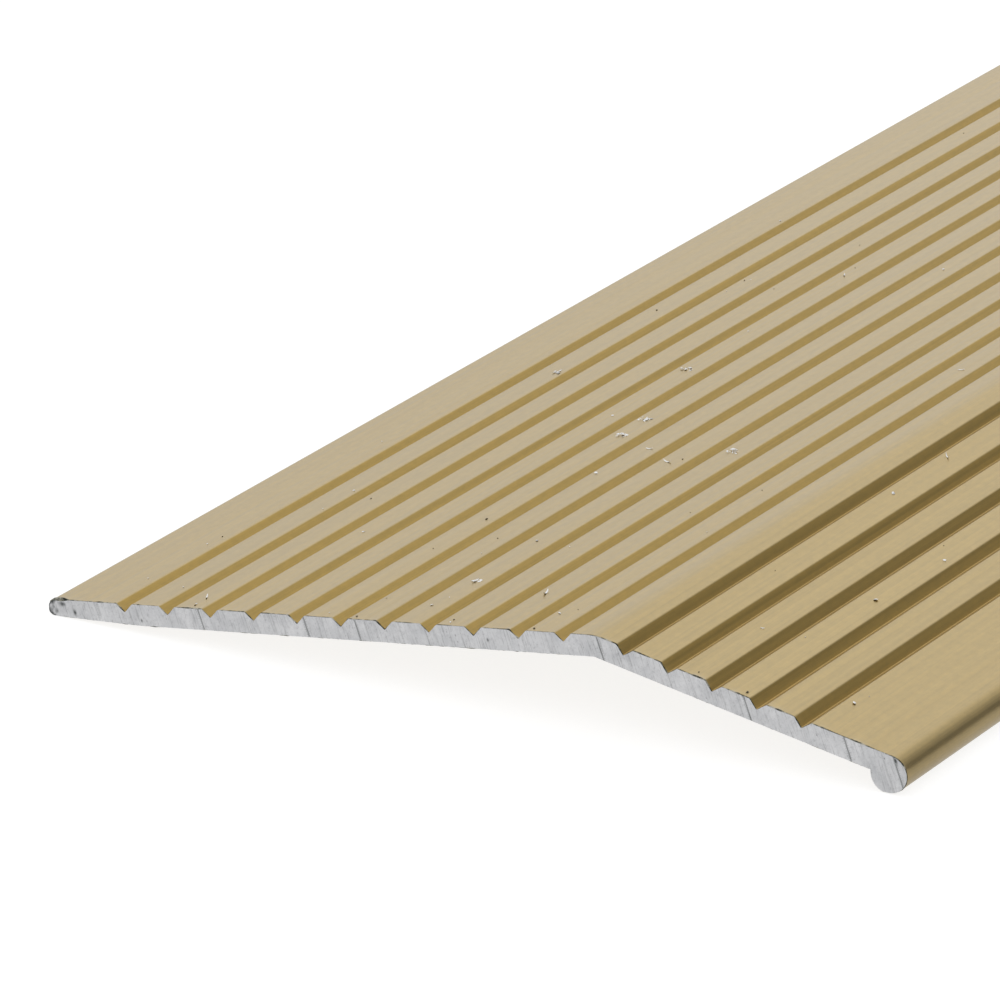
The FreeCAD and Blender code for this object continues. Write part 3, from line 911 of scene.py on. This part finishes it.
def curled_sliver(bm, chance, place, normal):
    """One thin closed curl of metal lying on the surface, narrower towards its ends."""
    length = chance.uniform(*SLIVER_LENGTHS) * MM
    width = chance.uniform(*SLIVER_WIDTHS) * MM
    thickness = SLIVER_THICKNESS * MM
    curl = chance.uniform(*SLIVER_CURLS)
    turn = lying(chance, normal)
    rings = []
    for i in range(SLIVER_STEPS + 1):
        share = i / SLIVER_STEPS - 0.5
        angle = curl * share
        middle = Vector((math.sin(angle), 0, 1 - math.cos(angle))) * (length / curl)
        up = Vector((-math.sin(angle), 0, math.cos(angle)))
        half = width / 2 * (1 - SLIVER_NARROWING * abs(2 * share) ** 2.5)
        ring = []
        for across, level in ((-half, 0), (half, 0), (half, thickness), (-half, thickness)):
            ring.append(bm.verts.new(place + turn @ (middle + up * level + Vector((0, across, 0)))))
        rings.append(ring)
    for first, second in zip(rings, rings[1:]):
        for i in range(4):
            following = (i + 1) % 4
            bm.faces.new((first[i], first[following], second[following], second[i]))
    bm.faces.new(reversed(rings[0]))
    bm.faces.new(rings[-1])


def flake(bm, chance, place, normal):
    """One thin ragged closed flake, lying a little tilted. Small ones are the most common."""
    radius = (FLAKE_RADIUS + FLAKE_GROWTH * chance.random() ** 3) * MM
    thickness = FLAKE_THICKNESS * MM
    tilt = Quaternion((1, 0, 0), chance.uniform(*FLAKE_TILTS))
    turn = lying(chance, normal) @ tilt
    stretch = chance.uniform(*FLAKE_STRETCHES)
    rim = []
    for i in range(FLAKE_CORNERS):
        angle = math.tau * i / FLAKE_CORNERS
        reach = radius * chance.uniform(*FLAKE_RAGGEDNESS)
        rim.append(Vector((reach * math.cos(angle), stretch * reach * math.sin(angle), 0)))
    lift = normal * (SITTING * radius * stretch)
    rings = []
    for level in (0.0, thickness):
        raised = [point + Vector((0, 0, level)) for point in rim]
        rings.append([bm.verts.new(place + lift + turn @ point) for point in raised])
    crown = bm.verts.new(place + lift + turn @ Vector((0, 0, FLAKE_CROWN * thickness)))
    lower, upper = rings
    bm.faces.new(reversed(lower))
    for i in range(FLAKE_CORNERS):
        following = (i + 1) % FLAKE_CORNERS
        bm.faces.new((lower[i], lower[following], upper[following], upper[i]))
        bm.faces.new((upper[i], upper[following], crown))


def clump(bm, chance, place, normal):
    """Flakes and curls lying together; one clump in three is twice the size."""
    size = chance.choice((1, 1, 2))
    for _ in range(size):
        curled_sliver(bm, chance, place, normal)
    spread = 0.16 + 0.1 * size
    for _ in range(FLAKES_IN_CLUMP * size):
        beside = Vector((chance.uniform(-1, 1), chance.uniform(-1, 1), 0)) * spread * MM
        flake(bm, chance, place + beside, normal)


def grain_of_grit(bm, chance, place, normal):
    """One lumpy closed crumb that sits on the surface."""
    radius = (GRIT_RADIUS + GRIT_GROWTH * chance.random() ** 2) * MM
    made = bmesh.ops.create_icosphere(bm, subdivisions=2, radius=radius)
    seed = chance.uniform(0, 100)
    middle = place + normal * radius * SITTING
    for vert in made["verts"]:
        lump = 1 + 0.9 * noise.noise(vert.co / radius * GRIT_LUMPS + Vector((seed, 0, 0)))
        spoke = Vector((vert.co.x, vert.co.y * GRIT_STRETCH, vert.co.z * GRIT_FLATNESS))
        vert.co = middle + spoke * lump


def scatter(name, seed, material, kinds):
    """One piece of debris: so many of each kind at random places on the lands."""
    chance = random.Random(seed)
    bm = bmesh.new()
    for make_one, count in kinds:
        for _ in range(count):
            place, normal = on_top(chance)
            make_one(bm, chance, place, normal)
    bmesh.ops.recalc_face_normals(bm, faces=bm.faces)
    piece = new_object(name, bm)
    piece.data.materials.append(material)
    bpy.context.collection.objects.link(piece)
    return piece


# Making the pieces

anodised = anodised_material("anodised_lands", *LAND_GOLD)
# The flutes' copy of the gold, more saturated as painted bounce light between the groove walls
flute_bounce_skin = anodised_material("anodised_flutes_painted_bounce", *FLUTE_GOLD_PAINTED_BOUNCE)
sawn = sawn_material()
# A painted shade line along each sawn edge
edge_shade = painted_edge_shade_material()
brass = brass_material()
bright = sliver_material()
dust = grit_material()
finishes = {
    SIDE_SLOT: anodised,
    CUT_SLOT: sawn,
    EDGE_SHADE_SLOT: edge_shade,
    HOLE_SLOT: sawn,
    FLUTE_BOUNCE_SLOT: flute_bounce_skin,
}

holes = screw_holes()
strip = make_strip(holes)
for slot in sorted(finishes):
    strip.data.materials.append(finishes[slot])
cut_holes(strip, holes)
saw_ends(strip)
strip.data.shade_smooth()
strip.data.set_sharp_from_angle(angle=STRIP_SHARP_ANGLE)
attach(strip, "root")
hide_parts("strip")

bright_kinds = ((curled_sliver, SLIVERS), (flake, FLAKES), (clump, CLUMPS))
slivers = scatter("saw_slivers", SLIVER_SEED, bright, bright_kinds)
grit = scatter("saw_grit", GRIT_SEED, dust, ((grain_of_grit, GRIT),))
grit.data.shade_smooth()
for piece in (slivers, grit):
    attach(piece, "root")

for name, node in frame["nodes"].items():
    if name.startswith("screw_"):
        node.data.materials.clear()
        node.data.materials.append(brass)
        node.data.shade_smooth()
        node.data.set_sharp_from_angle(angle=SCREW_SHARP_ANGLE)


# Floor, light and camera

FLOOR_GAP = 0.02 * MM  # how far the table lies below the strip's feet
FLOOR_REACH = 60.0
LIT_TABLE = (0.27, 0.84)  # how much light each table returns, and how much it gives
PLAIN_TABLE = (0.64, 0.0)
BACKDROP_RADIUS = 30.0
BACKDROP_GLOW = 1.1
DARK_SIDE = (0.82, 0.55, -0.15)  # the way towards the studio's dark side
# How bright the studio is, from straight away from its dark side, at 0, to straight towards it, at 1
WORLD_STOPS = (
    (0.0, 0.92),
    (0.5, 0.91),
    (0.59, 1.10),
    (0.66, 0.90),
    (0.75, 0.68),
    (0.88, 0.34),
    (0.93, 0.19),
    (1.0, 0.12),
)

CAMERA_LENS = 311.9
CAMERA_AZIMUTH = math.radians(30.19)
CAMERA_ELEVATION = math.radians(20.18)
CAMERA_DISTANCE = 438.04 * MM
CAMERA_CLIP = (0.01, 200.0)
AIM_ACROSS = -5.53 * MM  # the point above the sawn end that the camera looks at
AIM_HEIGHT = 11.44 * MM


def make_floor(name, level, material):
    """A wide flat square that is not part of the object."""
    mesh = bpy.data.meshes.new(name)
    reach = FLOOR_REACH
    corners = [(-reach, -reach, 0), (reach, -reach, 0), (reach, reach, 0), (-reach, reach, 0)]
    mesh.from_pydata(corners, [], [(0, 1, 2, 3)])
    mesh.materials.append(material)
    floor = bpy.data.objects.new(name, mesh)
    floor.location.z = level
    bpy.context.collection.objects.link(floor)
    return floor


def make_floors():
    """A softly lit table, and a plainer one that takes its place where the metal mirrors it."""
    table = make_floor("floor", -FLOOR_GAP, floor_material("lit_table", *LIT_TABLE))
    table.visible_glossy = False
    mirrored = make_floor("mirrored_floor", -2 * FLOOR_GAP, floor_material("plain_table", *PLAIN_TABLE))
    mirrored.visible_camera = False
    mirrored.visible_diffuse = False
    mirrored.visible_shadow = False


def make_backdrop():
    """A white wall all round, only for the camera, so that low views show no horizon."""
    material, nodes, links = new_material("white_backdrop")
    glow = add_node(nodes, "ShaderNodeEmission", Color=(1, 1, 1, 1), Strength=BACKDROP_GLOW)
    links.new(glow.outputs["Emission"], nodes["Material Output"].inputs["Surface"])
    bm = bmesh.new()
    bmesh.ops.create_icosphere(bm, subdivisions=4, radius=BACKDROP_RADIUS)
    bmesh.ops.reverse_faces(bm, faces=bm.faces)
    backdrop = new_object("backdrop", bm)
    backdrop.data.materials.append(material)
    for ray in ("diffuse", "glossy", "transmission", "volume_scatter", "shadow"):
        setattr(backdrop, f"visible_{ray}", False)
    bpy.context.collection.objects.link(backdrop)


def make_world():
    """An even pale studio that falls off towards its dark side."""
    world = bpy.data.worlds.new("studio")
    bpy.context.scene.world = world
    world.use_nodes = True
    nodes, links = world.node_tree.nodes, world.node_tree.links
    place = nodes.new("ShaderNodeTexCoord")
    along = nodes.new("ShaderNodeVectorMath")
    along.operation = "DOT_PRODUCT"
    along.inputs[1].default_value = Vector(DARK_SIDE).normalized()
    links.new(place.outputs["Generated"], along.inputs[0])
    share = map_range(nodes, links, along.outputs["Value"], (-1.0, 1.0), 0.0, 1.0)
    glow = ramp(nodes, links, share, WORLD_STOPS)
    links.new(glow, nodes["Background"].inputs["Color"])


def make_camera():
    """A long lens that looks down on the sawn end from its corner."""
    azimuth, elevation = CAMERA_AZIMUTH, CAMERA_ELEVATION
    back = Vector((
        math.sin(azimuth) * math.cos(elevation),
        -math.cos(azimuth) * math.cos(elevation),
        math.sin(elevation),
    ))
    camera = bpy.data.objects.new("camera", bpy.data.cameras.new("camera"))
    camera.data.lens = CAMERA_LENS
    camera.data.clip_start, camera.data.clip_end = CAMERA_CLIP
    camera.location = Vector((AIM_ACROSS, NEAR_END, AIM_HEIGHT)) + back * CAMERA_DISTANCE
    camera.rotation_euler = (-back).to_track_quat("-Z", "Y").to_euler()
    bpy.context.collection.objects.link(camera)
    bpy.context.scene.camera = camera


make_floors()
make_backdrop()
make_world()
make_camera()
bpy.context.scene.view_settings.view_transform = "Standard"
